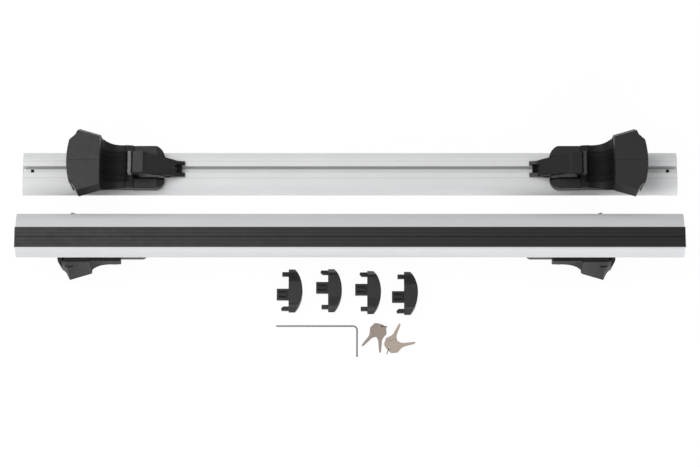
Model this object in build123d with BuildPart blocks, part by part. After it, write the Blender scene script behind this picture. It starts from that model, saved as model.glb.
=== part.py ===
from build123d import *
import os

# Roof rack: two crossbars with their clamp feet, end caps and keys, laid out as a set.
# All sizes are in millimetres. X runs along the bars, Z is up and the floor is Z = 0.
# The origin is on the floor, at the middle of the laid-out set.

# Layout of the set on the floor
set_half_depth = 203.0
bar_spacing = 142.0
upper_left_inset = 88.0
upper_right_inset = 62.0
lower_left_inset = 69.0
lower_right_inset = 118.0
lower_claw_draw = 26.0
cap_places = [(-99.0, -83.0, 1), (-27.3, -82.5, -1), (43.9, -86.0, -1), (111.0, -87.5, 1)]

# Crossbar
bar_length = 1200.0
bar_height = 30.0
bar_lip_height = 29.2
long_side = 46.0
short_side = 34.0
land_half = 16.3
nose_height = 11.8
knee_inset = 6.5
knee_height = 4.2
brow_inset = 4.0
brow_height = 18.6
strip_lip = 1.5
land_groove = 0.9
slot_mouth_half = 6.3
slot_lip = 3.0
slot_half = 13.0
slot_depth = 11.0
web = 2.6
skin = 2.4
top_slot_half = 14.0
top_slot_mouth_half = 9.0
top_slot_height = 7.0
top_slot_lip = 3.4
strip_half = 18.5
latch_hole_length = 6.0
latch_hole_width = 6.0
latch_hole_from_end = 16.5
end_recess_radius = 5.0
end_recess_depth = 1.4

# Rubber strip in the top of a crossbar
strip_overhang = 1.5
strip_rib_height = 0.9
strip_groove_half = 0.9
strip_groove_depth = 1.6
strip_fit = 0.2

# Foot envelope, measured down from the underside of the crossbar
foot_height = 76.0
ridge_depth = 53.0
tip_half = 63.0
tip_inset = 21.5
body_half = 39.0
body_end = 117.0
seat_gap = 0.2
crown = 1.6
shell_wall = 3.0
collar_length = 12.0
lip_thickness = 3.4
lip_half = 38.0
rim_shoulder_inset = 12.0
rim_shoulder_half = 38.6
rim_straight_inset = 22.0
face_front_half = 41.5
face_shoulder_inset = 15.5
face_shoulder_half = 48.0
face_tip_inset = 19.0
face_tip_half = 55.0
face_back_half = 43.5
ridge_front_half = 43.5
ridge_shoulder_inset = 15.0
ridge_shoulder_half = 50.5
ridge_back_half = 51.0
rim_depth = 7.0
seam = 0.5
split_inset = 62.6
crease_width = 0.9
crease_depth = 0.6
core_front = 22.8
core_half = 30.0
core_depth = 58.0

# Slots high on the flanks of a foot
flank_slot_side = 46.0
flank_slot_depth = 19.0
flank_slot_length = 12.0
flank_slot_height = 4.5

# Rail seat: an arch across the foot
rail_centre = 90.0
rail_depth = 52.0
rail_radius = 30.0
arch_half = 80.0
pad_thickness = 3.0
pad_half = 28.4
pad_rib_height = 1.2
pad_end = 25.0
pad_start = 22.0

# End door of a foot, its hinge and its lock
door_thickness = 8.0
door_half = 42.0
door_hinge_inset = 4.5
door_foot = 3.8
door_lip_clearance = 1.3
door_hollow = 46.0
pin_radius = 1.8
pin_fit = 0.08
pin_near = 9.5
pin_far = 22.5
lug_inner = 13.0
lug_width = 6.0
lug_radius = 2.8
lug_clearance = 0.4
window_half = 17.0
window_bottom = 60.0
lock_radius = 8.0
lock_flange = 10.0
lock_depth = 38.0
lock_proud = 1.0
lock_fit = 0.08
cam_start = 12.0
cam_thickness = 1.8
cam_reach = 21.0

# Tension screw and claw
screw_radius = 4.0
screw_depth = 11.5
screw_head_radius = 6.4
screw_head_length = 8.0
screw_start = 14.4
screw_fit = 0.1
hex_across_flats = 3.0
claw_tip = 116.7
claw_bend = 138.0
claw_fork = 194.5
claw_end = 209.6
claw_depth = 63.0
claw_sheet = 3.0
claw_jaw = 27.0
claw_flange = 9.0
claw_tip_half = 19.2
claw_fork_half = 14.2
fork_hole_half = 8.2
fork_hole_length = 9.5
claw_pad_thickness = 5.6
claw_pad_height = 22.0
claw_nut_radius = 5.6
claw_nut_setback = 14.5
screw_way = 50.0

# Guide block, T-nuts and their bolts
guide_end = 172.5
guide_bend = 159.0
guide_depth = 22.0
guide_channel_half = 19.4
guide_half = 39.5
guide_narrow_half = 31.5
guide_wall = 5.0
t_nut_length = 22.0
t_nut_fit = 0.3
bolt_seat = 3.2
bolt_radius = 3.0
bolt_head_radius = 5.5
bolt_head_height = 2.6
bolt_insets = [33.0, 102.0]

# End cap
cap_length = 25.0
cap_tongue_length = 22.0
cap_tongue_half = 10.5
cap_prong_length = 14.0
cap_prong_width = 7.6
cap_prong_level = 8.0
cap_slit_length = 15.0
cap_slit_depth = 5.0

# Hex key and lock keys
hex_long_arm = 147.0
hex_bend = 7.0
hex_corner_x = 12.7
hex_line = -146.2
key_pairs = [((54.6, -146.8), (-132.0, -90.0), -5.0), ((70.6, -186.3), (65.3, 10.6), -108.0)]
key_thickness = 2.0
key_head_width = 24.0
key_neck = 27.0
key_length = 49.5
ring_wire = 0.9

# Places worked out from the sizes above
claw_nut_inset = claw_fork - claw_nut_setback
door_hinge_depth = foot_height - lip_thickness - door_lip_clearance - door_foot
upper_line = set_half_depth - tip_half
lower_line = upper_line - bar_spacing
stand_height = foot_height + bar_height
strip_ledge = bar_height - 5.5
top_slot_floor = strip_ledge - top_slot_lip - top_slot_height

os.makedirs("parts", exist_ok=True)


def save(solid, name):
    solid.label = name
    export_step(solid, "parts/" + name + ".step")


def standing(shape, inset_sign, reach, draw=0.0):
    """Foot piece to its place under the upright bar; inset_sign is -1 at the left end."""
    moved = shape.moved(Location((draw, 0, stand_height - bar_height)))
    if inset_sign > 0:
        moved = moved.rotate(Axis.Z, 180)
    return moved.moved(Location((inset_sign * reach, lower_line, 0)))


def lying(shape, inset_sign, reach, draw=0.0):
    """Foot piece to its place on the bar that lies upside down."""
    moved = shape.moved(Location((draw, 0, 0))).rotate(Axis.X, 180)
    if inset_sign > 0:
        moved = moved.rotate(Axis.Z, 180)
    return moved.moved(Location((inset_sign * reach, upper_line, bar_height)))


# Crossbar section, upright: Y across the bar from the slot line, Z up from the underside
def side_outline(sign, reach):
    """Nose of the aerofoil section on one side, from the underside land to the top lip."""
    knee = (sign * (reach - knee_inset), knee_height)
    nose = (sign * reach, nose_height)
    brow = (sign * (reach - brow_inset), brow_height)
    Spline(
        [(sign * land_half, 0), knee, nose, brow, (sign * (strip_half + strip_lip), bar_lip_height)],
        tangents=[(sign, 0.02), (-sign, 0.34)],
    )


def build_crossbar():
    section = Plane.YZ.offset(-bar_length / 2)
    with BuildPart() as bar:
        with BuildSketch(section):
            with BuildLine():
                side_outline(1, long_side)
                Line((strip_half + strip_lip, bar_lip_height), (-strip_half - strip_lip, bar_lip_height))
                side_outline(-1, short_side)
                Line((-land_half, 0), (land_half, 0))
            make_face()
            # underside T-slot
            with Locations((0, slot_lip / 2)):
                Rectangle(2 * slot_mouth_half, slot_lip, mode=Mode.SUBTRACT)
            with Locations((0, (slot_lip + slot_depth) / 2)):
                Rectangle(2 * slot_half, slot_depth - slot_lip, mode=Mode.SUBTRACT)
            # fine grooves either side of the underside land
            for side in (1, -1):
                with Locations((side * land_half, 0)):
                    Rectangle(land_groove, land_groove, mode=Mode.SUBTRACT)
            # top T-slot and the ledges that carry the rubber strip
            with Locations((0, top_slot_floor + top_slot_height / 2)):
                Rectangle(2 * top_slot_half, top_slot_height, mode=Mode.SUBTRACT)
            with Locations((0, strip_ledge - top_slot_lip / 2)):
                Rectangle(2 * top_slot_mouth_half, top_slot_lip, mode=Mode.SUBTRACT)
            with Locations((0, (strip_ledge + bar_height) / 2)):
                Rectangle(2 * strip_half, bar_height - strip_ledge, mode=Mode.SUBTRACT)
            # hollow chambers either side of the slots
            for sign, reach in ((1, long_side), (-1, short_side)):
                with BuildLine():
                    Polyline(
                        (sign * (slot_half + web), web),
                        (sign * (reach - knee_inset - skin), knee_height + skin / 2),
                        (sign * (reach - 1.3 * skin), nose_height),
                        (sign * (reach - brow_inset - 1.4 * skin), brow_height - skin / 2),
                        (sign * (strip_half + strip_lip), strip_ledge - skin / 2),
                        (sign * (top_slot_half + skin), strip_ledge - skin),
                        close=True,
                    )
                make_face(mode=Mode.SUBTRACT)
        extrude(amount=bar_length)
        # latch holes for the end caps, through the floor of the underside slot
        with Locations(
            Location((-bar_length / 2 + latch_hole_from_end, 0, slot_depth + web / 2)),
            Location((bar_length / 2 - latch_hole_from_end, 0, slot_depth + web / 2)),
        ):
            Box(latch_hole_length, latch_hole_width, 3 * web, mode=Mode.SUBTRACT)
        # half-round recesses in the same floor at both ends
        with Locations(
            Location((-bar_length / 2, 0, slot_depth)),
            Location((bar_length / 2, 0, slot_depth)),
        ):
            Cylinder(end_recess_radius, 2 * end_recess_depth, mode=Mode.SUBTRACT)
    return bar.part


def build_strip():
    length = bar_length + 2 * strip_overhang
    rib_pitch = (strip_half - strip_groove_half) / 6
    with BuildPart() as strip:
        with BuildSketch(Plane.YZ.offset(-length / 2)):
            cap_base = strip_ledge + 0.1
            cap_top = bar_height - strip_rib_height
            with Locations((0, (cap_base + cap_top) / 2)):
                Rectangle(2 * (strip_half - strip_fit), cap_top - cap_base)
            # ribs along the top, three each side of the middle groove
            for sign in (1, -1):
                for place in (1, 3, 5):
                    middle = sign * (strip_groove_half + place * rib_pitch)
                    with Locations((middle, bar_height - strip_rib_height / 2)):
                        Rectangle(1.25 * rib_pitch, strip_rib_height)
            with Locations((0, cap_top - strip_groove_depth / 2)):
                Rectangle(2 * strip_groove_half, strip_groove_depth, mode=Mode.SUBTRACT)
            # stem and barbs that hold in the top T-slot
            stem_half = top_slot_mouth_half - strip_fit
            barb_half = top_slot_half - 1.0
            with Locations((0, strip_ledge - top_slot_lip / 2)):
                Rectangle(2 * stem_half, top_slot_lip + 1.2)
            with Locations((0, strip_ledge - top_slot_lip - 1.5)):
                Trapezoid(2 * barb_half, 2.4, 60, rotation=180)
        extrude(amount=length)
    return strip.part


# Foot pieces: X inwards from the outer end, Y across, Z = 0 at the underside of the bar
def rail_arch(radius, half):
    """Space of the roof rail across the foot, open downwards."""
    with BuildPart() as arch:
        with BuildSketch(Plane.XZ.offset(-half)):
            with Locations((rail_centre, -rail_depth)):
                Circle(radius)
            with Locations((rail_centre, -rail_depth - radius)):
                Rectangle(2 * radius - 4, 2 * radius)
        extrude(amount=2 * half)
    return arch.part


def flared_shell(inset, front, depth, rim):
    """Flared shape between three levels: lower face, ridge with the tips, and top rim."""
    face_end = rail_centre - rail_radius - 0.5
    shell_end = split_inset - 0.6
    lower_face = [(front, face_front_half), (face_shoulder_inset, face_shoulder_half),
                  (face_tip_inset, face_tip_half), (face_end, face_back_half)]
    ridge = [(front, ridge_front_half), (ridge_shoulder_inset, ridge_shoulder_half),
             (tip_inset, tip_half), (shell_end, ridge_back_half)]
    top_rim = [(front, lip_half), (rim_shoulder_inset, rim_shoulder_half),
               (rim_straight_inset, body_half), (shell_end, body_half)]
    levels = [(depth, lower_face), (ridge_depth, ridge), (rim, top_rim)]
    with BuildPart() as shell:
        for level, points in levels:
            near = [(x, inset - y) for x, y in points]
            far = [(x, y - inset) for x, y in reversed(points)]
            with BuildSketch(Plane.XY.offset(-level)):
                Polygon(*near, *far, align=None)
        loft(ruled=True)
    return shell.part


def build_cover():
    front = door_thickness + seam
    back = front + shell_wall
    roof = tip_half + 2
    with BuildPart() as cover:
        add(flared_shell(0, front, foot_height, rim_depth))
        # lip of the lower face under the door, bowed in plan
        with BuildSketch(Plane.XY.offset(-foot_height)):
            with BuildLine():
                ThreePointArc((door_hinge_inset, -lip_half), (0, 0), (door_hinge_inset, lip_half))
                Polyline((door_hinge_inset, lip_half), (front, face_front_half), (back, face_front_half),
                         (back, -face_front_half), (front, -face_front_half),
                         (door_hinge_inset, -lip_half))
            make_face()
        extrude(amount=lip_thickness)
        # the lower face is crowned along its middle
        with BuildSketch(Plane.YZ):
            Polygon((0, -foot_height), (roof, crown - foot_height), (roof, 0), (-roof, 0),
                    (-roof, crown - foot_height), align=None)
        extrude(amount=rail_centre, mode=Mode.INTERSECT)
        inside = flared_shell(shell_wall, front + shell_wall, foot_height - crown - shell_wall,
                              rim_depth - 1)
        add(inside, mode=Mode.SUBTRACT)
        add(rail_arch(rail_radius, arch_half), mode=Mode.SUBTRACT)
        # crease along the middle of the lower face
        with Locations((rail_centre / 2, 0, -foot_height)):
            Box(rail_centre, crease_width, 2 * crease_depth, mode=Mode.SUBTRACT)
        # window behind the door for the screw head and the lock
        window_middle = -(rim_depth + window_bottom) / 2
        with Locations((front + shell_wall / 2, 0, window_middle)):
            Box(2 * shell_wall, 2 * window_half, window_bottom - rim_depth + 2, mode=Mode.SUBTRACT)
        # lugs that carry the door hinge
        with BuildSketch(Plane.XZ.offset(-lug_inner - lug_width)):
            with Locations((door_hinge_inset, -door_hinge_depth)):
                Circle(lug_radius)
            with Locations(((door_hinge_inset + front + 1) / 2, -door_hinge_depth)):
                Rectangle(front + 1 - door_hinge_inset, 2 * lug_radius)
        extrude(amount=lug_width)
        with BuildSketch(Plane.XZ.offset(lug_inner)):
            with Locations((door_hinge_inset, -door_hinge_depth)):
                Circle(lug_radius)
            with Locations(((door_hinge_inset + front + 1) / 2, -door_hinge_depth)):
                Rectangle(front + 1 - door_hinge_inset, 2 * lug_radius)
        extrude(amount=lug_width)
        for side in (1, -1):
            pin_middle = side * (pin_far + pin_near) / 2
            with Locations(Location((door_hinge_inset, pin_middle, -door_hinge_depth), (90, 0, 0))):
                Cylinder(pin_radius, pin_far - pin_near - 0.4)
        # slots high on both flanks
        for side in (1, -1):
            middle = (tip_inset, side * flank_slot_side, -flank_slot_depth)
            with Locations(Location(middle, (0, 0, side * 40))):
                Box(flank_slot_length, 20, flank_slot_height, mode=Mode.SUBTRACT)
    return cover.part


def build_door():
    top = rim_depth + 0.5
    with BuildPart() as door:
        # plan: bowed outer face, cut back at both ends
        with BuildSketch(Plane.XY.offset(-door_hinge_depth - 4)):
            with BuildLine():
                ThreePointArc((4, -door_half + 5), (0, 0), (4, door_half - 5))
                Line((4, door_half - 5), (6.4, door_half))
                Line((6.4, door_half), (door_thickness, door_half))
                Line((door_thickness, door_half), (door_thickness, -door_half))
                Line((door_thickness, -door_half), (6.4, -door_half))
                Line((6.4, -door_half), (4, -door_half + 5))
            make_face()
        extrude(amount=door_hinge_depth + 4 - top)
        # side profile: leans in towards the bar, round about the hinge axis
        with BuildSketch(Plane.XZ.offset(-door_half - 1)):
            with BuildLine():
                Polyline((door_hinge_inset - 3.9, -door_hinge_depth), (0, -door_hinge_depth + 6),
                         (0, -40), (3.2, -top), (door_thickness, -top),
                         (door_thickness, -door_hinge_depth))
                ThreePointArc((door_thickness, -door_hinge_depth),
                              (door_hinge_inset, -door_hinge_depth - door_foot),
                              (door_hinge_inset - 3.9, -door_hinge_depth))
            make_face()
        extrude(amount=2 * door_half + 2, mode=Mode.INTERSECT)
        # hollow back
        with Locations((door_thickness, 0, -38)):
            Box(2 * (door_thickness - 4.6), 2 * window_half - 8, door_hollow, mode=Mode.SUBTRACT)
        # boss and bore for the lock
        with Locations(Location((door_thickness / 2 + 0.9, 0, -lock_depth), (0, 90, 0))):
            Cylinder(lock_radius + 2.5, door_thickness - 1.8)
        with Locations(Location((door_thickness / 2, 0, -lock_depth), (0, 90, 0))):
            Cylinder(lock_radius + lock_fit, 3 * door_thickness, mode=Mode.SUBTRACT)
        # pockets for the hinge lugs, and the pin holes
        pocket_width = lug_width + 2 * lug_clearance
        for side in (1, -1):
            lug_middle = side * (lug_inner + lug_width / 2)
            with Locations(Location((door_hinge_inset, lug_middle, -door_hinge_depth), (90, 0, 0))):
                Cylinder(lug_radius + lug_clearance, pocket_width, mode=Mode.SUBTRACT)
            with Locations((door_thickness, lug_middle, -door_hinge_depth + 1)):
                Box(2 * (door_thickness - 2.5), pocket_width, 15, mode=Mode.SUBTRACT)
        with Locations(Location((door_hinge_inset, 0, -door_hinge_depth), (90, 0, 0))):
            Cylinder(pin_radius + pin_fit, pin_far * 2, mode=Mode.SUBTRACT)
            Cylinder(pin_radius + 1.5, pin_near * 2 - 6)
    return door.part


def build_lock():
    with BuildPart() as lock:
        with BuildSketch(Plane.YZ.offset(-lock_proud)):
            with Locations((0, -lock_depth)):
                Circle(lock_flange)
        extrude(amount=lock_proud - 0.1)
        with BuildSketch(Plane.YZ.offset(-0.5)):
            with Locations((0, -lock_depth)):
                Circle(lock_radius)
        extrude(amount=cam_start + 0.5)
        # cam at the inner end, pointing at the bar while unlocked
        with BuildSketch(Plane.YZ.offset(cam_start)):
            with Locations((0, -lock_depth + cam_reach / 2 - 3)):
                SlotOverall(cam_reach + 6, 8, rotation=90)
        extrude(amount=cam_thickness)
        chamfer(lock.edges().filter_by(GeomType.CIRCLE).group_by(Axis.X)[0], 0.6)
        # keyway
        with Locations((-lock_proud, 0, -lock_depth)):
            Box(9, 1.6, 8, mode=Mode.SUBTRACT)
    return lock.part


def build_housing():
    front = core_front
    with BuildPart() as housing:
        # flared body from the cover back to the guide block
        stations = [
            (split_inset, [(body_half - 0.4, seat_gap), (body_half, rim_depth), (49.4, 44), (0, 44)]),
            (70, [(body_half - 0.4, seat_gap), (body_half, rim_depth), (46.6, 37), (0, 37)]),
            (82, [(body_half - 0.4, seat_gap), (body_half, rim_depth), (42.8, 30), (0, 30)]),
            (98, [(body_half - 0.4, seat_gap), (body_half, rim_depth), (40.2, 25.5), (0, 25.5)]),
            (body_end, [(body_half - 0.4, seat_gap), (body_half, rim_depth), (39.4, 25), (0, 25)]),
        ]
        for station, points in stations:
            far = [(y, -z) for y, z in points]
            near = [(-y, -z) for y, z in reversed(points[:-1])]
            with BuildSketch(Plane.YZ.offset(station)):
                Polygon(*far, *near, align=None)
        loft(ruled=True)
        # collar that fills the cover behind the arch
        for station in (split_inset - collar_length, split_inset + 0.5):
            with BuildSketch(Plane.YZ.offset(station)):
                side = [(body_half - shell_wall - 0.8, seat_gap),
                        (body_half - shell_wall - 0.6, rim_depth), (45.4, 43.5)]
                Polygon(*[(y, -z) for y, z in side], *[(-y, -z) for y, z in reversed(side)],
                        align=None)
        loft(ruled=True)
        # core behind the door, inside the cover
        with Locations(((front + split_inset + 2) / 2, 0, -(seat_gap + core_depth) / 2)):
            Box(split_inset + 2 - front, 2 * core_half, core_depth - seat_gap)
        # deck under the bar, out to the cover's rim
        with Locations(((front - 8 + split_inset) / 2, 0, -(seat_gap + rim_depth - 0.5) / 2)):
            Box(split_inset - front + 8, 2 * body_half - 6, rim_depth - 0.5 - seat_gap)
        # rail seat with the bed of its rubber pad
        add(rail_arch(rail_radius, arch_half), mode=Mode.SUBTRACT)
        bed = rail_arch(rail_radius + pad_thickness, pad_half + 0.2)
        add(bed, mode=Mode.SUBTRACT)
        # run of the tension screw
        with Locations(Location((body_end / 2, 0, -screw_depth), (0, 90, 0))):
            Cylinder(screw_radius + 0.5, 2 * body_end, mode=Mode.SUBTRACT)
        with Locations(Location((front - 5, 0, -screw_depth), (0, 90, 0))):
            Cylinder(screw_head_radius + 0.8, 10, mode=Mode.SUBTRACT)
        with Locations((front - 5, 0, -screw_depth - 8)):
            Box(10, 2 * screw_head_radius + 1.6, 16, mode=Mode.SUBTRACT)
        # seats of the bolts that hold the foot to the bar
        for inset in bolt_insets:
            with Locations((inset, 0, -(bolt_seat + screw_depth) / 2)):
                Cylinder(bolt_head_radius + 0.4, screw_depth - bolt_seat, mode=Mode.SUBTRACT)
            with Locations((inset, 0, -bolt_seat)):
                Cylinder(bolt_radius + 0.3, 3 * bolt_seat, mode=Mode.SUBTRACT)
    return housing.part


def build_saddle():
    """Ribbed rubber pad that lines the rail seat."""
    half = pad_half
    with BuildPart() as saddle:
        with BuildSketch(Plane.XZ.offset(-half)):
            with Locations((rail_centre, -rail_depth)):
                Circle(rail_radius + pad_thickness - 0.1)
                Circle(rail_radius, mode=Mode.SUBTRACT)
        extrude(amount=2 * half)
        for middle, width in ((21.2, 7.4), (12.2, 3.6), (-12.2, 3.6), (-21.2, 7.4)):
            with BuildSketch(Plane.XZ.offset(-middle - width / 2)):
                with Locations((rail_centre, -rail_depth)):
                    Circle(rail_radius + 0.5)
                    Circle(rail_radius - pad_rib_height, mode=Mode.SUBTRACT)
            extrude(amount=width)
        # the pad runs from the jaw over the top of the seat
        with BuildSketch(Plane.XZ.offset(-half - 1)):
            Polygon((rail_centre - 2 * rail_radius, 0), (rail_centre + pad_end, 0),
                    (rail_centre, -rail_depth), (rail_centre - pad_start, -core_depth + 1),
                    (rail_centre - 2 * rail_radius, -core_depth + 1), align=None)
        extrude(amount=2 * half + 2, mode=Mode.INTERSECT)
    return saddle.part


def build_guide(half):
    """Block between housing and claw, with a lobe on each side of the claw's channel."""
    start = body_end + seam
    with BuildPart() as guide:
        with BuildSketch(Plane.XY.offset(-seat_gap)):
            with BuildLine():
                Line((start, -half), (guide_bend - 2, -half))
                ThreePointArc((guide_bend - 2, -half), (guide_bend + 8, -half + 5),
                              (guide_end, -guide_channel_half - 4))
                Line((guide_end, -guide_channel_half - 4), (guide_end, guide_channel_half + 4))
                ThreePointArc((guide_end, guide_channel_half + 4), (guide_bend + 8, half - 5),
                              (guide_bend - 2, half))
                Polyline((guide_bend - 2, half), (start, half), (start, -half))
            make_face()
        extrude(amount=-(guide_depth - seat_gap))
        # the lobes slope up to the bar behind their bend
        with BuildSketch(Plane.XZ.offset(-body_half - 1)):
            Polygon((guide_bend, -guide_depth), (guide_end + 1, -guide_depth), (guide_end + 1, -9),
                    align=None)
        extrude(amount=2 * body_half + 2, mode=Mode.SUBTRACT)
        # channel of the claw
        with Locations(((start + guide_wall + guide_end + 2) / 2, 0, -guide_depth / 2)):
            Box(guide_end + 2 - start - guide_wall, 2 * guide_channel_half, guide_depth + 2,
                mode=Mode.SUBTRACT)
        with Locations(Location((start, 0, -screw_depth), (0, 90, 0))):
            Cylinder(screw_radius + 0.5, 4 * guide_wall, mode=Mode.SUBTRACT)
        chamfer(guide.edges().filter_by(Axis.X).group_by(Axis.Z)[0].sort_by(Axis.Y)[0], 1.2)
        chamfer(guide.edges().filter_by(Axis.X).group_by(Axis.Z)[0].sort_by(Axis.Y)[-1], 1.2)
    return guide.part


def build_t_nuts():
    height = slot_depth - slot_lip - 2 * t_nut_fit
    with BuildPart() as nuts:
        for inset in bolt_insets:
            with Locations((inset, 0, slot_lip + t_nut_fit + height / 2)):
                Box(t_nut_length, 2 * (slot_half - t_nut_fit), height)
            with Locations((inset, 0, slot_lip)):
                Cylinder(bolt_radius + 0.05, 4 * height, mode=Mode.SUBTRACT)
    return nuts.part


def build_bolts():
    with BuildPart() as bolts:
        for inset in bolt_insets:
            with Locations((inset, 0, -bolt_seat - bolt_head_height / 2)):
                Cylinder(bolt_head_radius, bolt_head_height)
            length = bolt_seat + slot_depth - 1
            with Locations((inset, 0, -bolt_seat + length / 2)):
                Cylinder(bolt_radius, length)
    return bolts.part


def claw_outline(sheet):
    """Side view of the claw; sheet is how far the outline lies inside the outer faces."""
    slope = (claw_depth - 9) / (claw_fork - claw_bend)
    return [
        (claw_end, -0.6),
        (claw_end, -5.2),
        (claw_fork + 1, -9 + sheet),
        (claw_bend + 3 - sheet, -claw_depth + 2.5 + 1.2 * sheet),
        (claw_bend - 1 - sheet, -claw_depth + sheet),
        (claw_tip + 2 + sheet, -claw_depth + sheet),
        (claw_tip + sheet, -claw_depth + 2.5 + sheet),
        (claw_tip + sheet, -claw_depth + claw_jaw),
        (claw_tip + claw_flange, -claw_depth + claw_jaw),
        (claw_tip + claw_flange + 6, -claw_depth + 12),
        (claw_bend, -claw_depth + 12),
        (claw_fork - 4, -claw_depth + 12 + slope * (claw_fork - 4 - claw_bend)),
        (claw_fork - 4, -0.6),
    ]


def build_claw():
    with BuildPart() as claw:
        with BuildSketch(Plane.XZ.offset(-claw_tip_half)):
            Polygon(*claw_outline(0), align=None)
            # ears that hold the cross nut
            with Locations((claw_nut_inset, -screw_depth)):
                Circle(claw_nut_radius + 3.4)
        extrude(amount=2 * claw_tip_half)
        # channel inside the sheet
        with BuildSketch(Plane.XZ.offset(-claw_fork_half + claw_sheet)):
            Polygon(*claw_outline(claw_sheet), align=None)
            with Locations((claw_nut_inset, -screw_depth)):
                Circle(claw_nut_radius + 1)
            with Locations((claw_end, -screw_depth)):
                Rectangle(2 * (claw_end - claw_fork + claw_sheet), 3 * screw_depth, mode=Mode.SUBTRACT)
        extrude(amount=2 * (claw_fork_half - claw_sheet), mode=Mode.SUBTRACT)
        # the strap narrows towards the fork
        with BuildSketch(Plane.XY):
            edge = [(claw_tip, claw_tip_half), (claw_bend, claw_tip_half),
                    (claw_bend + 26, claw_tip_half - 2.2), (claw_fork - 6, claw_fork_half + 1.2),
                    (claw_fork + 4, claw_fork_half), (claw_end, claw_fork_half)]
            Polygon(*edge, *[(x, -y) for x, y in reversed(edge)], align=None)
        extrude(amount=-claw_depth - 1, mode=Mode.INTERSECT)
        # fork: a square hole open between two prongs
        with Locations((claw_fork + fork_hole_length / 2, 0, -6)):
            Box(fork_hole_length, 2 * fork_hole_half, 14, mode=Mode.SUBTRACT)
        with Locations((claw_end - 2, 0, -6)):
            Box(12, 2 * fork_hole_half - 2.4, 14, mode=Mode.SUBTRACT)
        # way for the end of the screw, and the holes of the cross nut
        with Locations(Location((claw_nut_inset + 5, 0, -screw_depth), (0, 90, 0))):
            Cylinder(screw_radius + 0.8, screw_way, mode=Mode.SUBTRACT)
        with Locations(Location((claw_nut_inset, 0, -screw_depth), (90, 0, 0))):
            Cylinder(claw_nut_radius + 0.1, 4 * claw_tip_half, mode=Mode.SUBTRACT)
    return claw.part


def build_claw_nut():
    with BuildPart() as nut:
        with Locations(Location((claw_nut_inset, 0, -screw_depth), (90, 0, 0))):
            Cylinder(claw_nut_radius, 2 * claw_fork_half + 1)
        with Locations(Location((claw_nut_inset, 0, -screw_depth), (0, 90, 0))):
            Cylinder(screw_radius + screw_fit / 2, 4 * claw_nut_radius, mode=Mode.SUBTRACT)
    return nut.part


def build_claw_pad():
    bottom = claw_depth - 1.0
    with BuildPart() as pad:
        with Locations((claw_tip - 1.5 - claw_pad_thickness / 2, 0, -bottom + claw_pad_height / 2)):
            Box(claw_pad_thickness, 2 * claw_tip_half + 1.2, claw_pad_height)
        # scalloped face towards the rail
        face_x = claw_tip - 1.5 - claw_pad_thickness
        for place in (-12, -6, 0, 6, 12):
            with Locations((face_x, place, -bottom + claw_pad_height / 2)):
                Cylinder(1.0, claw_pad_height + 2, mode=Mode.SUBTRACT)
        with Locations((claw_tip - 1.2, 0, -bottom + claw_pad_height / 2)):
            Box(1.8, 20, claw_pad_height - 8)
    return pad.part


def build_screw():
    length = claw_nut_inset + claw_nut_radius + 2 - screw_start
    with BuildPart() as screw:
        with BuildSketch(Plane.YZ.offset(screw_start)):
            with Locations((0, -screw_depth)):
                Circle(screw_radius)
        extrude(amount=length)
        with BuildSketch(Plane.YZ.offset(screw_start)):
            with Locations((0, -screw_depth)):
                Circle(screw_head_radius)
        extrude(amount=screw_head_length)
        with BuildSketch(Plane.YZ.offset(screw_start)):
            with Locations((0, -screw_depth)):
                RegularPolygon((hex_across_flats + 0.2) / 2, 6, major_radius=False)
        extrude(amount=4.5, mode=Mode.SUBTRACT)
    return screw.part


# End cap, upright, its inner face at X = 0 and the tongue towards -X
def build_cap():
    with BuildPart() as cap:
        with BuildSketch(Plane.YZ):
            with BuildLine():
                side_outline(1, long_side)
                Line((strip_half + strip_lip, bar_lip_height), (-strip_half - strip_lip, bar_lip_height))
                side_outline(-1, short_side)
                Line((-land_half, 0), (land_half, 0))
            make_face()
        extrude(amount=cap_length)
        # the outer face is bowed in plan
        with BuildSketch(Plane.XY):
            with BuildLine():
                ThreePointArc((cap_length * 0.42, -short_side - 1), (cap_length, 7),
                              (cap_length * 0.42, long_side + 1))
                Polyline((cap_length * 0.42, long_side + 1), (0, long_side + 1),
                         (0, -short_side - 1), (cap_length * 0.42, -short_side - 1))
            make_face()
        extrude(amount=bar_height, mode=Mode.INTERSECT)
        fillet(cap.faces().sort_by(Axis.X)[-1].edges().filter_by(Axis.Y), 2.0)
        # tongue for the underside slot
        with Locations((-cap_tongue_length / 2 + 0.5, 0, (slot_lip + slot_depth) / 2)):
            Box(cap_tongue_length + 1, 2 * cap_tongue_half, slot_depth - slot_lip - 1.2)
        # slits that free the snap latch, and its tooth
        for side in (1, -1):
            with Locations((-cap_slit_length / 2 - 4, side * 4.4, slot_depth)):
                Box(cap_slit_length, 1.8, 2 * cap_slit_depth, mode=Mode.SUBTRACT)
        with Locations((-latch_hole_from_end, 0, slot_depth - 0.6)):
            Box(latch_hole_length - 1, latch_hole_width - 1, 2.4)
        # prongs for the hollow chambers; the one on the short side has a slanted tip
        outer = -short_side + 3.2
        inner = outer + cap_prong_width
        with BuildSketch(Plane.XY.offset(cap_prong_level)):
            with Locations((1.5 - cap_prong_length / 2, long_side - 9.5)):
                Rectangle(cap_prong_length - 1, cap_prong_width)
            Polygon((1, inner), (4 - cap_prong_length, inner), (-cap_prong_length, inner - 3.8),
                    (1 - cap_prong_length, outer), (1, outer), align=None)
        extrude(amount=cap_prong_width)
    return cap.part


def build_hex_key():
    lift = hex_across_flats / 2
    start = (hex_corner_x - hex_long_arm, hex_line, lift)
    corner = (hex_corner_x, hex_line, lift)
    end = (hex_corner_x, -set_half_depth, lift)
    with BuildPart() as key:
        with BuildLine() as path:
            FilletPolyline(start, corner, end, radius=hex_bend)
        with BuildSketch(Plane(origin=start, x_dir=(0, 1, 0), z_dir=(1, 0, 0))):
            RegularPolygon(lift, 6, major_radius=False)
        sweep(path=path.line)
    return key.part


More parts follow.
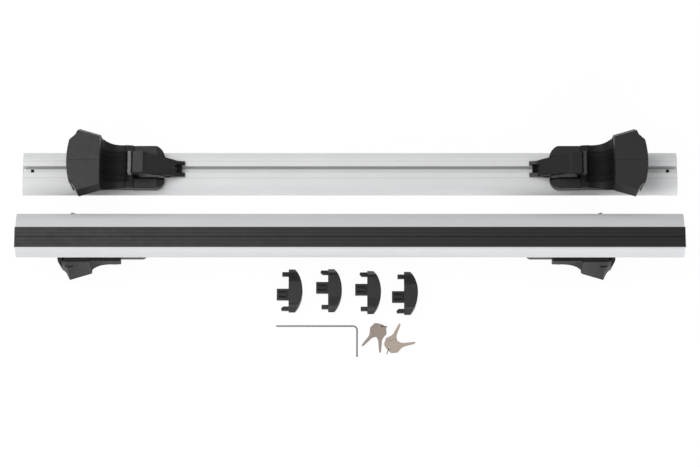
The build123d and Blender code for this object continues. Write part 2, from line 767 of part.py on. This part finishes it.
def key_blank(place, angle, level):
    """One flat key, its ring hole at the given place."""
    half = key_head_width / 2
    outline = [(-3.2, 4), (2, half - 1), (14, half), (22, 5.5), (key_neck, 3.4),
               (key_length - 3.5, 2.0), (key_length, 0.4)]
    with BuildPart() as blank:
        with BuildSketch(Plane.XY.offset(level)):
            Polygon(*outline, *[(x, -y) for x, y in reversed(outline)], align=None)
            Circle(1.6, mode=Mode.SUBTRACT)
            # bitting along one edge of the blade
            for step in range(5):
                with Locations((31 + 3.4 * step, -3.4)):
                    RegularPolygon(1.4, 3, mode=Mode.SUBTRACT)
        extrude(amount=key_thickness)
    return blank.part.rotate(Axis.Z, angle).moved(Location((place[0], place[1], 0)))


def key_link(place, angle):
    """Wire link through the holes of a pair of keys, standing on edge."""
    top = 2 * ring_wire + 2 * key_thickness + 1.0
    with BuildPart() as link:
        with BuildLine(Plane.XZ) as path:
            FilletPolyline((6, ring_wire), (12.5, ring_wire), (12.5, top), (0, top), (0, ring_wire),
                           (5.6, ring_wire), radius=1.4)
        with BuildSketch(Plane(origin=(6, 0, ring_wire), z_dir=(1, 0, 0))):
            Circle(ring_wire / 1.5)
        sweep(path=path.line)
    return link.part.rotate(Axis.Z, angle).moved(Location((place[0], place[1], 0)))


# The set as it lies: fixed pieces of the two crossbars first
upright = Location((0, lower_line, stand_height - bar_height))
crossbar = build_crossbar()
save(crossbar.moved(upright), "lower_crossbar")
save(crossbar.rotate(Axis.X, 180).moved(Location((0, upper_line, bar_height))), "upper_crossbar")
strip = build_strip()
save(strip.moved(upright), "lower_strip")
save(strip.rotate(Axis.X, 180).moved(Location((0, upper_line, bar_height))), "upper_strip")

# Four feet, two under the upright bar and two on the overturned one
foot_pieces = {
    "cover": build_cover(),
    "housing": build_housing(),
    "saddle_pad": build_saddle(),
    "t_nuts": build_t_nuts(),
    "bolts": build_bolts(),
    "door": build_door(),
    "lock": build_lock(),
    "screw": build_screw(),
}
guides = {
    lying: build_guide(guide_half),
    standing: build_guide(guide_narrow_half),
}
claw_pieces = {
    "claw": build_claw(),
    "claw_pad": build_claw_pad(),
    "claw_nut": build_claw_nut(),
}
feet = [
    ("upper_left", lying, -1, upper_left_inset, 0.0),
    ("upper_right", lying, 1, upper_right_inset, 0.0),
    ("lower_left", standing, -1, lower_left_inset, lower_claw_draw),
    ("lower_right", standing, 1, lower_right_inset, lower_claw_draw),
]
for foot, place, end, inset, draw in feet:
    reach = bar_length / 2 - inset
    save(place(guides[place], end, reach), foot + "_guide_block")
    for piece, solid in foot_pieces.items():
        save(place(solid, end, reach), foot + "_" + piece)
    for piece, solid in claw_pieces.items():
        save(place(solid, end, reach, -draw), foot + "_" + piece)

# End caps, hex key and lock keys on the floor
cap = build_cap()
for number, (x, y, hand) in enumerate(cap_places):
    turned = cap if hand > 0 else mirror(cap, about=Plane.XZ)
    offset = hand * (long_side - short_side) / 2
    save(turned.moved(Location((x - cap_length / 2, y - offset, 0))), "end_cap_" + str(number + 1))
save(build_hex_key(), "hex_key")
links = []
for number, (hole, angles, link_angle) in enumerate(key_pairs):
    lower_key = key_blank(hole, angles[0], 2 * ring_wire)
    upper_key = key_blank(hole, angles[1], 2 * ring_wire + key_thickness + 0.1)
    save(Compound([lower_key, upper_key]), "lock_keys_" + str(number + 1))
    links.append(key_link(hole, link_angle))
save(Compound(links), "key_links")
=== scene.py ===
import math

import bmesh
import bpy
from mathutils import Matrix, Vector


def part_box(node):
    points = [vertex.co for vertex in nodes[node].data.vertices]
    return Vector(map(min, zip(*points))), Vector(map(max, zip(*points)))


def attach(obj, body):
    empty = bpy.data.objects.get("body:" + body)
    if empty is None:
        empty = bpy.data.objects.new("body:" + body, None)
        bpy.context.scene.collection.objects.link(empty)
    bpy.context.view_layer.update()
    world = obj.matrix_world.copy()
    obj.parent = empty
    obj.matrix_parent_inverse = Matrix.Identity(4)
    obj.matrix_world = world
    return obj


# Roof rack set: finishes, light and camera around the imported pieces. Lengths are in metres.
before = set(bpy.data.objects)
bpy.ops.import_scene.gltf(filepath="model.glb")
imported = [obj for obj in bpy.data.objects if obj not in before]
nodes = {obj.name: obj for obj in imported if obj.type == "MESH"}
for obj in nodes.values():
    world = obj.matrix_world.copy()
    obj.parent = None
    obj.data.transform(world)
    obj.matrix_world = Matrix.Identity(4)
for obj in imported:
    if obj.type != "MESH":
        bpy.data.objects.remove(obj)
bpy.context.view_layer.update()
mm = 0.001
print("frame loaded with", len(nodes), "pieces")

# What all the finishes share
finishLook = {
    "noiseBand": (0.3, 0.7),  # the part of a noise that is spread over the whole range
    "mottleDetail": 3.0,
    "grainDetail": 2.0,
    "wanderDetail": 5.0,
    "wanderShare": 0.4,  # how fine the wandering of the roughness is, against the mottle
    "lineStretch": 0.01,
    "maskBlend": 0.2 * mm,
}
edgeLook = {"weld": 0.01 * mm, "segments": 2, "sharpAngle": math.radians(28)}

# The middle of each bar and the height of its slotted side, and which way that side looks
upperBar = {"middle": 140 * mm, "underside": 30 * mm, "looks": 1}
lowerBar = {"middle": -2 * mm, "underside": 76 * mm, "looks": -1}


# Building blocks for the finishes
def paint(red, green, blue):
    # a colour as a screen shows it, 0 to 255, turned into the shader's own scale
    shades = []
    for part in (red, green, blue):
        part = part / 255
        shades.append(part / 12.92 if part < 0.04045 else ((part + 0.055) / 1.055) ** 2.4)
    return (*shades, 1.0)


def startFinish(name, look):
    material = bpy.data.materials.new(name)
    material.use_nodes = True
    tree = material.node_tree
    shader = tree.nodes["Principled BSDF"]
    shader.inputs["Metallic"].default_value = look.get("metallic", 0.0)
    shader.inputs["IOR"].default_value = look.get("ior", 1.5)
    shader.inputs["Specular IOR Level"].default_value = look.get("specular", 0.5)
    coords = tree.nodes.new("ShaderNodeTexCoord")
    return material, tree, shader, coords.outputs["Object"]


def stretched(tree, place, scale):
    mapping = tree.nodes.new("ShaderNodeMapping")
    mapping.inputs["Scale"].default_value = scale
    tree.links.new(place, mapping.inputs["Vector"])
    return mapping.outputs["Vector"]


def placeOn(material):
    return material.node_tree.nodes["Texture Coordinate"].outputs["Object"]


def cloudy(tree, place, grainSize, detail):
    texture = tree.nodes.new("ShaderNodeTexNoise")
    texture.inputs["Scale"].default_value = 1 / grainSize
    texture.inputs["Detail"].default_value = detail
    tree.links.new(place, texture.inputs["Vector"])
    return texture.outputs["Fac"]


def pebbled(tree, place, grainSize):
    texture = tree.nodes.new("ShaderNodeTexVoronoi")
    texture.inputs["Scale"].default_value = 1 / grainSize
    tree.links.new(place, texture.inputs["Vector"])
    return texture.outputs["Distance"]


def ranged(tree, value, low, high):
    mapRange = tree.nodes.new("ShaderNodeMapRange")
    mapRange.inputs["From Min"].default_value = finishLook["noiseBand"][0]
    mapRange.inputs["From Max"].default_value = finishLook["noiseBand"][1]
    mapRange.inputs["To Min"].default_value = low
    mapRange.inputs["To Max"].default_value = high
    tree.links.new(value, mapRange.inputs["Value"])
    return mapRange.outputs["Result"]


def between(tree, value, dark, light):
    mix = tree.nodes.new("ShaderNodeMix")
    mix.data_type = "RGBA"
    mix.inputs[6].default_value = dark
    mix.inputs[7].default_value = light
    tree.links.new(value, mix.inputs[0])
    return mix.outputs[2]


def raised(tree, shader, height, depth):
    bump = tree.nodes.new("ShaderNodeBump")
    bump.inputs["Distance"].default_value = abs(depth)
    bump.invert = depth < 0
    tree.links.new(height, bump.inputs["Height"])
    socket = shader.inputs["Normal"]
    if socket.is_linked:
        tree.links.new(socket.links[0].from_socket, bump.inputs["Normal"])
    tree.links.new(bump.outputs["Normal"], socket)


def within(tree, place, middle, half):
    # 1 inside a box, 0 outside it, with a narrow blend at its sides
    shift = tree.nodes.new("ShaderNodeVectorMath")
    shift.operation = "SUBTRACT"
    shift.inputs[1].default_value = middle
    tree.links.new(place, shift.inputs[0])
    size = tree.nodes.new("ShaderNodeVectorMath")
    size.operation = "ABSOLUTE"
    tree.links.new(shift.outputs[0], size.inputs[0])
    over = tree.nodes.new("ShaderNodeVectorMath")
    over.operation = "SUBTRACT"
    over.inputs[1].default_value = half
    tree.links.new(size.outputs[0], over.inputs[0])
    parts = tree.nodes.new("ShaderNodeSeparateXYZ")
    tree.links.new(over.outputs[0], parts.inputs[0])
    worst = parts.outputs["X"]
    for other in ("Y", "Z"):
        larger = tree.nodes.new("ShaderNodeMath")
        larger.operation = "MAXIMUM"
        tree.links.new(worst, larger.inputs[0])
        tree.links.new(parts.outputs[other], larger.inputs[1])
        worst = larger.outputs[0]
    blend = tree.nodes.new("ShaderNodeMapRange")
    blend.inputs["From Min"].default_value = -finishLook["maskBlend"]
    blend.inputs["From Max"].default_value = finishLook["maskBlend"]
    blend.inputs["To Min"].default_value = 1.0
    blend.inputs["To Max"].default_value = 0.0
    tree.links.new(worst, blend.inputs["Value"])
    return blend.outputs["Result"]


def without(tree, value, other):
    # the first value where the other is 0
    rest = tree.nodes.new("ShaderNodeMath")
    rest.operation = "SUBTRACT"
    rest.inputs[0].default_value = 1.0
    tree.links.new(other, rest.inputs[1])
    product = tree.nodes.new("ShaderNodeMath")
    product.operation = "MULTIPLY"
    tree.links.new(value, product.inputs[0])
    tree.links.new(rest.outputs[0], product.inputs[1])
    return product.outputs[0]


def sunkenAndShaded(material, mask, colour, depth):
    # a sunken place where the mask is 1, its colour swapped for the given one as painted shade; with a
    # depth of 0 only the painted shade is left
    tree = material.node_tree
    shader = tree.nodes["Principled BSDF"]
    mix = tree.nodes.new("ShaderNodeMix")
    mix.data_type = "RGBA"
    mix.inputs[7].default_value = colour
    tree.links.new(mask, mix.inputs[0])
    tree.links.new(shader.inputs["Base Color"].links[0].from_socket, mix.inputs[6])
    tree.links.new(mix.outputs[2], shader.inputs["Base Color"])
    raised(tree, shader, mask, -depth)


def dulled(material, mask, level):
    # less shine where the mask is 1
    tree = material.node_tree
    shine = tree.nodes["Principled BSDF"].inputs["Specular IOR Level"]
    change = tree.nodes.new("ShaderNodeMapRange")
    change.inputs["To Min"].default_value = shine.default_value
    change.inputs["To Max"].default_value = level
    tree.links.new(mask, change.inputs["Value"])
    tree.links.new(change.outputs["Result"], shine)


def finishWith(name, look):
    # mottled colour, roughness that wanders, and a relief of grain and drawn lines
    material, tree, shader, place = startFinish(name, look)
    mottle = cloudy(tree, place, look["mottleSize"], finishLook["mottleDetail"])
    tree.links.new(between(tree, mottle, look["dark"], look["light"]), shader.inputs["Base Color"])
    wanderSize = look["mottleSize"] * finishLook["wanderShare"]
    wander = cloudy(tree, place, wanderSize, finishLook["wanderDetail"])
    tree.links.new(ranged(tree, wander, *look["rough"]), shader.inputs["Roughness"])
    if "lineSize" in look:
        stretch = look.get("lineStretch", finishLook["lineStretch"])
        along = stretched(tree, place, (stretch, 1, 1))
        lines = cloudy(tree, along, look["lineSize"], finishLook["grainDetail"])
        raised(tree, shader, lines, look["lineDepth"])
    if look.get("pebbles"):
        grain = pebbled(tree, place, look["grainSize"])
    else:
        grain = cloudy(tree, place, look["grainSize"], finishLook["grainDetail"])
    raised(tree, shader, grain, look["grainDepth"])
    return material


def dress(material, *endings):
    # every piece whose name has one of these endings gets the finish
    for name, piece in nodes.items():
        if name.endswith(endings):
            for slot in piece.material_slots:
                slot.material = material


def softenEdges(width, *endings):
    # a small rounding on the sharp edges, so that they catch the light
    for name, piece in nodes.items():
        if not name.endswith(endings):
            continue
        weld = piece.modifiers.new("weld", "WELD")
        weld.merge_threshold = edgeLook["weld"]
        rounding = piece.modifiers.new("rounding", "BEVEL")
        rounding.width = width
        rounding.segments = edgeLook["segments"]
        rounding.limit_method = "ANGLE"
        rounding.angle_limit = edgeLook["sharpAngle"]
        rounding.use_clamp_overlap = True
        smoothing = piece.modifiers.new("smoothing", "WEIGHTED_NORMAL")
        smoothing.keep_sharp = True


# Crossbars: satin anodised aluminium, with the faint lines of its extrusion die
aluminiumLook = {
    "dark": paint(236, 237, 238),
    "light": paint(243, 244, 245),
    "metallic": 0.1,
    "rough": (0.56, 0.64),
    "mottleSize": 60 * mm,
    "lineSize": 0.5 * mm,
    "lineDepth": 0.012 * mm,
    "grainSize": 0.25 * mm,
    "grainDepth": 0.006 * mm,
}
# the upright bar is painted a shade darker than the overturned one, as painted shade on the same
# aluminium
shadedBarLook = {**aluminiumLook, "dark": paint(214, 215, 217), "light": paint(222, 223, 225)}
# the underside has painted shade along one wall of its slot, and a fine die line along each side of
# it, a shallow groove whose colour is painted in as painted shade
undersideLook = {
    "shadeSide": 5.0 * mm,
    "shadeHalf": 1.6 * mm,
    "shadeStart": 0.5 * mm,
    "shadeDepth": 11.5 * mm,
    "shadeColour": paint(186, 187, 188),
    "lineSide": 15.6 * mm,
    "lineHalf": 0.4 * mm,
    "lineDepth": 0.12 * mm,
    "lineHeight": 4 * mm,
    "lineShadeColour": paint(226, 227, 228),
    "reach": 0.7,
}


def finishBar(name, look, bar):
    material = finishWith(name + "Aluminium", look)
    tree = material.node_tree
    place = placeOn(material)
    under = undersideLook
    depth = under["shadeDepth"] / 2
    shadeLevel = bar["underside"] - bar["looks"] * (depth + under["shadeStart"])
    shadeMiddle = (0, bar["middle"] + under["shadeSide"], shadeLevel)
    shade = within(tree, place, shadeMiddle, (under["reach"], under["shadeHalf"], depth))
    # painted shade along the slot wall, with no relief
    sunkenAndShaded(material, shade, under["shadeColour"], 0)
    for side in (-1, 1):
        lineMiddle = (0, bar["middle"] + side * under["lineSide"], bar["underside"])
        lineHalf = (under["reach"], under["lineHalf"], under["lineHeight"])
        line = within(tree, place, lineMiddle, lineHalf)
        # the die line: a real groove, its colour painted in as painted shade
        sunkenAndShaded(material, line, under["lineShadeColour"], under["lineDepth"])
    dress(material, name)


finishBar("upper_crossbar", aluminiumLook, upperBar)
finishBar("lower_crossbar", shadedBarLook, lowerBar)
print("crossbars finished")

# Rubber strips: matt black, drawn lines along the ribs
stripLook = {
    "dark": paint(18, 18, 19),
    "light": paint(27, 27, 28),
    "rough": (0.42, 0.52),
    "mottleSize": 25 * mm,
    "lineSize": 0.6 * mm,
    "lineDepth": 0.03 * mm,
    "grainSize": 0.2 * mm,
    "grainDepth": 0.01 * mm,
}
dress(finishWith("stripRubber", stripLook), "_strip")
print("strips finished")

# Foot shells: black moulded plastic with a fine leathery grain
shellLook = {
    "dark": paint(24, 24, 25),
    "light": paint(32, 32, 33),
    "rough": (0.44, 0.54),
    "mottleSize": 18 * mm,
    "pebbles": True,
    "grainSize": 0.55 * mm,
    "grainDepth": 0.05 * mm,
}
dress(finishWith("footPlastic", shellLook), "_cover", "_door")

# Housings and guide blocks: the same plastic, smoother and duller
innerLook = {
    "dark": paint(22, 22, 23),
    "light": paint(30, 30, 31),
    "specular": 0.28,
    "rough": (0.48, 0.6),
    "mottleSize": 14 * mm,
    "grainSize": 0.3 * mm,
    "grainDepth": 0.02 * mm,
    "edge": 0.8 * mm,
}
dress(finishWith("innerPlastic", innerLook), "_housing")
# the lobes of the guide block stand in full light, so they are painted lighter, as painted light, and
# are a shade shinier
litGuideLook = {**innerLook, "dark": paint(26, 26, 27), "light": paint(34, 34, 35), "specular": 0.5}
# the channel between the lobes, where the claw slides, is dull, and painted dark as painted shade
channelShadeLook = {
    "half": 22.5 * mm,
    "reach": 0.7,
    "height": 0.2,
    "colour": paint(9, 9, 9),
    "specular": 0.06,
}


def finishGuides(row, bar):
    material = finishWith(row + "GuidePlastic", litGuideLook)
    half = (channelShadeLook["reach"], channelShadeLook["half"], channelShadeLook["height"])
    channel = within(material.node_tree, placeOn(material), (0, bar["middle"], 0), half)
    # painted shade in the channel, with no relief
    sunkenAndShaded(material, channel, channelShadeLook["colour"], 0)
    dulled(material, channel, channelShadeLook["specular"])
    for hand in ("_left", "_right"):
        dress(material, row + hand + "_guide_block")


finishGuides("upper", upperBar)
finishGuides("lower", lowerBar)
softenEdges(innerLook["edge"], "_housing", "_guide_block")

# Saddle pads: dull black rubber
padLook = {
    "dark": paint(12, 12, 12),
    "light": paint(18, 18, 18),
    "specular": 0.25,
    "rough": (0.6, 0.75),
    "mottleSize": 8 * mm,
    "grainSize": 0.35 * mm,
    "grainDepth": 0.03 * mm,
}
dress(finishWith("padRubber", padLook), "_saddle_pad")
print("feet finished")

# Claws and their cross nuts: pressed steel with a black coat. Claw pads: grey rubber
clawLook = {
    "dark": paint(20, 20, 21),
    "light": paint(28, 28, 29),
    "specular": 0.4,
    "rough": (0.32, 0.42),
    "mottleSize": 9 * mm,
    "grainSize": 0.8 * mm,
    "grainDepth": 0.02 * mm,
    "edge": 0.6 * mm,
}
dress(finishWith("clawSteel", clawLook), "_claw", "_claw_nut")
softenEdges(clawLook["edge"], "_claw")

clawPadLook = {
    "dark": paint(104, 105, 106),
    "light": paint(122, 123, 124),
    "rough": (0.6, 0.72),
    "mottleSize": 6 * mm,
    "grainSize": 0.3 * mm,
    "grainDepth": 0.03 * mm,
    "edge": 0.4 * mm,
}
dress(finishWith("clawPadRubber", clawPadLook), "_left_claw_pad")
# the pads of the right-hand feet are painted nearly black, as painted shade, since they face away from
# the light
shadedPadLook = {**clawPadLook, "dark": paint(44, 44, 45), "light": paint(56, 56, 57)}
dress(finishWith("shadedPadRubber", shadedPadLook), "_right_claw_pad")
softenEdges(clawPadLook["edge"], "_claw_pad")
print("claws finished")

# Inserts: small black blocks close to the bar, one in the window of each claw's fork, and two along
# the channel of each guide block, beside the claw. These two are black sheets put where the claw and
# the lobes leave only shade: painted shade
insertLook = {
    "dark": paint(7, 7, 7),
    "light": paint(12, 12, 12),
    "specular": 0.15,
    "rough": (0.6, 0.75),
    "mottleSize": 4 * mm,
    "grainSize": 0.3 * mm,
    "grainDepth": 0.02 * mm,
    "rim": 1.1 * mm,
    "hollow": 0.6 * mm,
    "facing": 0.9,  # the hollow is in the side that looks away from the bar
    "edge": 0.3 * mm,
}
insertAndShadeSheet = finishWith("insertAndShadeSheet", insertLook)
forkInsert = {
    "length": 9.2 * mm,
    "width": 16.2 * mm,
    "thickness": 2.4 * mm,
    "fromEnd": 5.7 * mm,
    "fromFace": 0.3 * mm,
}
channelShadeSheet = {
    "length": 49.0 * mm,
    "width": 3.3 * mm,
    "thickness": 1.6 * mm,
    "fromEnd": 0.6 * mm,
    "fromFace": 0.1 * mm,
    "side": 17.6 * mm,
}


def makeInsert(name, foot, carrier, body, insertSize, side):
    # it lies at the carrier's end towards the middle of the bar, on the face next to the bar
    low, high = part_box(foot + carrier)
    towardsMiddle = 1 if foot.endswith("left") else -1
    awayFromBar = 1 if foot.startswith("upper") else -1
    end = high.x if towardsMiddle == 1 else low.x
    face = low.z if awayFromBar == 1 else high.z
    middle = (
        end - towardsMiddle * (insertSize["fromEnd"] + insertSize["length"] / 2),
        (low.y + high.y) / 2 + side,
        face + awayFromBar * (insertSize["fromFace"] + insertSize["thickness"] / 2),
    )
    sizes = (insertSize["length"], insertSize["width"], insertSize["thickness"])
    form = bmesh.new()
    bmesh.ops.create_cube(form, size=1)
    bmesh.ops.scale(form, vec=sizes, verts=form.verts)
    bmesh.ops.translate(form, vec=middle, verts=form.verts)
    form.normal_update()
    outer = [part for part in form.faces if part.normal.z * awayFromBar > insertLook["facing"]]
    bmesh.ops.inset_region(form, faces=outer, thickness=insertLook["rim"], depth=-insertLook["hollow"])
    mesh = bpy.data.meshes.new(foot + name)
    form.to_mesh(mesh)
    form.free()
    insert = bpy.data.objects.new(foot + name, mesh)
    bpy.context.scene.collection.objects.link(insert)
    insert.data.materials.append(insertAndShadeSheet)
    rounding = insert.modifiers.new("rounding", "BEVEL")
    rounding.width = insertLook["edge"]
    rounding.segments = edgeLook["segments"]
    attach(insert, foot + body)


for row in ("upper", "lower"):
    for hand in ("left", "right"):
        footName = row + "_" + hand
        makeInsert("_fork_insert", footName, "_claw", "_claw", forkInsert, 0)
        # the two black sheets along each channel stand in for shade: painted shade
        for number, side in (("1", channelShadeSheet["side"]), ("2", -channelShadeSheet["side"])):
            name = "_channel_insert_" + number
            makeInsert(name, footName, "_guide_block", "_foot", channelShadeSheet, side)
print("inserts made")

# Fasteners and hex key: zinc plate with a slight cloudiness
zincLook = {
    "dark": paint(122, 124, 126),
    "light": paint(150, 152, 154),
    "metallic": 1.0,
    "rough": (0.24, 0.4),
    "mottleSize": 5 * mm,
    "grainSize": 0.3 * mm,
    "grainDepth": 0.004 * mm,
    "edge": 0.3 * mm,
}
zincPieces = ("_t_nuts", "_bolts", "_screw", "hex_key")
dress(finishWith("zincPlate", zincLook), *zincPieces)
softenEdges(zincLook["edge"], *zincPieces)

# Lock barrels and their keys: nickel, warmer than the zinc. Key links: darker wire
lockLook = {
    "dark": paint(140, 136, 128),
    "light": paint(178, 172, 162),
    "metallic": 1.0,
    "rough": (0.22, 0.34),
    "mottleSize": 4 * mm,
    "grainSize": 0.25 * mm,
    "grainDepth": 0.006 * mm,
}
dress(finishWith("lockMetal", lockLook), "_lock")
keyLook = {
    "dark": paint(163, 150, 140),
    "light": paint(196, 182, 170),
    "metallic": 0.7,
    "rough": (0.4, 0.55),
    "mottleSize": 3 * mm,
    "lineSize": 0.25 * mm,
    "lineStretch": 0.06,
    "lineDepth": 0.012 * mm,
    "grainSize": 0.2 * mm,
    "grainDepth": 0.006 * mm,
    "edge": 0.2 * mm,
}
dress(finishWith("keyNickel", keyLook), "lock_keys_2")
# the other pair is painted a shade darker, as painted shade: it lies tilted away from the light
shadedKeyLook = {**keyLook, "dark": paint(141, 130, 121), "light": paint(174, 161, 151)}
dress(finishWith("shadedKeyNickel", shadedKeyLook), "lock_keys_1")
linkLook = {
    "dark": paint(64, 64, 66),
    "light": paint(92, 92, 95),
    "metallic": 0.9,
    "rough": (0.35, 0.5),
    "mottleSize": 2 * mm,
    "grainSize": 0.2 * mm,
    "grainDepth": 0.004 * mm,
}
dress(finishWith("linkWire", linkLook), "key_links")
softenEdges(keyLook["edge"], "_lock", "lock_keys_1", "lock_keys_2")
print("locks and keys finished")

# End caps: black moulded plastic, a little smoother than the feet
capLook = {
    "dark": paint(15, 15, 16),
    "light": paint(23, 23, 24),
    "rough": (0.4, 0.5),
    "mottleSize": 10 * mm,
    "pebbles": True,
    "grainSize": 0.4 * mm,
    "grainDepth": 0.03 * mm,
    "edge": 1.2 * mm,
}
# each tongue has a shallow sink with the latch tab in it, the sink painted dark as painted shade: X of
# the cap's inner face, Y of the tongue
capTongues = {
    "end_cap_1": (-111.5 * mm, -89.0 * mm),
    "end_cap_2": (-39.8 * mm, -76.5 * mm),
    "end_cap_3": (31.4 * mm, -80.0 * mm),
    "end_cap_4": (98.5 * mm, -93.5 * mm),
}
sinkShadeLook = {
    "colour": paint(12, 12, 12),
    "depth": 0.5 * mm,
    "level": 10.4 * mm,
    "length": 17 * mm,
    "width": 11.8 * mm,
    "height": 1.5 * mm,
    "tabLength": 11.6 * mm,
    "tabWidth": 4.0 * mm,
    "tabHeight": 3 * mm,
    "tabGap": 1.8 * mm,
}


def finishCap(name, face, middle):
    material = finishWith(name + "Plastic", capLook)
    tree = material.node_tree
    place = placeOn(material)
    look = sinkShadeLook
    sinkMiddle = (face - look["length"] / 2, middle, look["level"])
    sinkHalf = (look["length"] / 2, look["width"] / 2, look["height"])
    tabMiddle = (face - look["tabGap"] - look["tabLength"] / 2, middle, look["level"])
    tabHalf = (look["tabLength"] / 2, look["tabWidth"] / 2, look["tabHeight"])
    sink = within(tree, place, sinkMiddle, sinkHalf)
    tab = within(tree, place, tabMiddle, tabHalf)
    # the sink, but not its tab, is sunk a little and painted dark: painted shade
    sunkenAndShaded(material, without(tree, sink, tab), look["colour"], look["depth"])
    dress(material, name)


for capName, (capFace, tongueMiddle) in capTongues.items():
    finishCap(capName, capFace, tongueMiddle)
softenEdges(capLook["edge"], *capTongues)
print("end caps finished")


# Floor: pale, and shown almost white with only a little of its shadows
floorLook = {
    "size": 16.0,
    "colour": (0.86, 0.86, 0.86, 1),
    "roughness": 0.9,
    "specular": 0.1,
    "glow": 1.02,
    "shadowShare": 0.06,
}


def seenDirectly(tree):
    # 1 for rays from the camera and for what gloss and glass show, 0 for the light itself
    rays = tree.nodes.new("ShaderNodeLightPath")
    total = rays.outputs["Is Camera Ray"]
    for other in ("Is Glossy Ray", "Is Transmission Ray"):
        adding = tree.nodes.new("ShaderNodeMath")
        adding.operation = "MAXIMUM"
        tree.links.new(total, adding.inputs[0])
        tree.links.new(rays.outputs[other], adding.inputs[1])
        total = adding.outputs[0]
    return total


def makeFloor():
    bpy.ops.mesh.primitive_plane_add(size=floorLook["size"])
    floor = bpy.context.object
    floor.name = "floor"
    material = bpy.data.materials.new("paleFloor")
    material.use_nodes = True
    tree = material.node_tree
    shader = tree.nodes["Principled BSDF"]
    shader.inputs["Base Color"].default_value = floorLook["colour"]
    shader.inputs["Roughness"].default_value = floorLook["roughness"]
    shader.inputs["Specular IOR Level"].default_value = floorLook["specular"]
    glow = tree.nodes.new("ShaderNodeEmission")
    glow.inputs["Strength"].default_value = floorLook["glow"]
    share = tree.nodes.new("ShaderNodeMath")
    share.operation = "MULTIPLY"
    share.inputs[1].default_value = 1 - floorLook["shadowShare"]
    tree.links.new(seenDirectly(tree), share.inputs[0])
    mix = tree.nodes.new("ShaderNodeMixShader")
    tree.links.new(share.outputs[0], mix.inputs[0])
    tree.links.new(shader.outputs[0], mix.inputs[1])
    tree.links.new(glow.outputs[0], mix.inputs[2])
    tree.links.new(mix.outputs[0], tree.nodes["Material Output"].inputs["Surface"])
    floor.data.materials.append(material)


makeFloor()

# Light: a broad soft box above and to the left, a long low one in front, and an even surround
surroundLook = {"brightness": 0.45}
softBoxes = [
    # name, place, what it points at, width, length, watts, tint
    ("keyBox", (-1.4, 0.55, 3.0), (-0.2, 0.0, 0.0), 2.8, 2.2, 46, (1.0, 0.995, 0.985)),
    ("frontBox", (0.5, -2.7, 1.3), (0.0, 0.0, 0.05), 3.6, 0.9, 44, (0.95, 0.98, 1.0)),
]


def makeLight():
    world = bpy.data.worlds.new("surround")
    world.use_nodes = True
    bpy.context.scene.world = world
    tree = world.node_tree
    background = tree.nodes["Background"]
    background.inputs["Color"].default_value = (1, 1, 1, 1)
    strength = tree.nodes.new("ShaderNodeMapRange")
    strength.inputs["To Min"].default_value = surroundLook["brightness"]
    strength.inputs["To Max"].default_value = 1.0
    rays = tree.nodes.new("ShaderNodeLightPath")
    tree.links.new(rays.outputs["Is Camera Ray"], strength.inputs["Value"])
    tree.links.new(strength.outputs["Result"], background.inputs["Strength"])
    for name, place, aim, width, length, watts, tint in softBoxes:
        lamp = bpy.data.lights.new(name, "AREA")
        lamp.shape = "RECTANGLE"
        lamp.size = width
        lamp.size_y = length
        lamp.energy = watts
        lamp.color = tint
        holder = bpy.data.objects.new(name, lamp)
        bpy.context.scene.collection.objects.link(holder)
        holder.location = place
        towards = holder.location.copy()
        towards.x = aim[0] - place[0]
        towards.y = aim[1] - place[1]
        towards.z = aim[2] - place[2]
        holder.rotation_euler = towards.to_track_quat("-Z", "Y").to_euler()


makeLight()
print("floor and light ready")

# Camera: far off and almost overhead, as in the photograph
cameraLook = {"aim": (0, 0.0265, 0), "distance": 4.5, "tilt": math.radians(12), "lens": 126.05}


def makeCamera():
    data = bpy.data.cameras.new("camera")
    data.lens = cameraLook["lens"]
    camera = bpy.data.objects.new("camera", data)
    bpy.context.scene.collection.objects.link(camera)
    aim = cameraLook["aim"]
    back = cameraLook["distance"] * math.sin(cameraLook["tilt"])
    up = cameraLook["distance"] * math.cos(cameraLook["tilt"])
    camera.location = (aim[0], aim[1] - back, aim[2] + up)
    camera.rotation_euler = (cameraLook["tilt"], 0, 0)
    bpy.context.scene.camera = camera


makeCamera()
bpy.context.scene.view_settings.view_transform = "Standard"
print("camera ready")
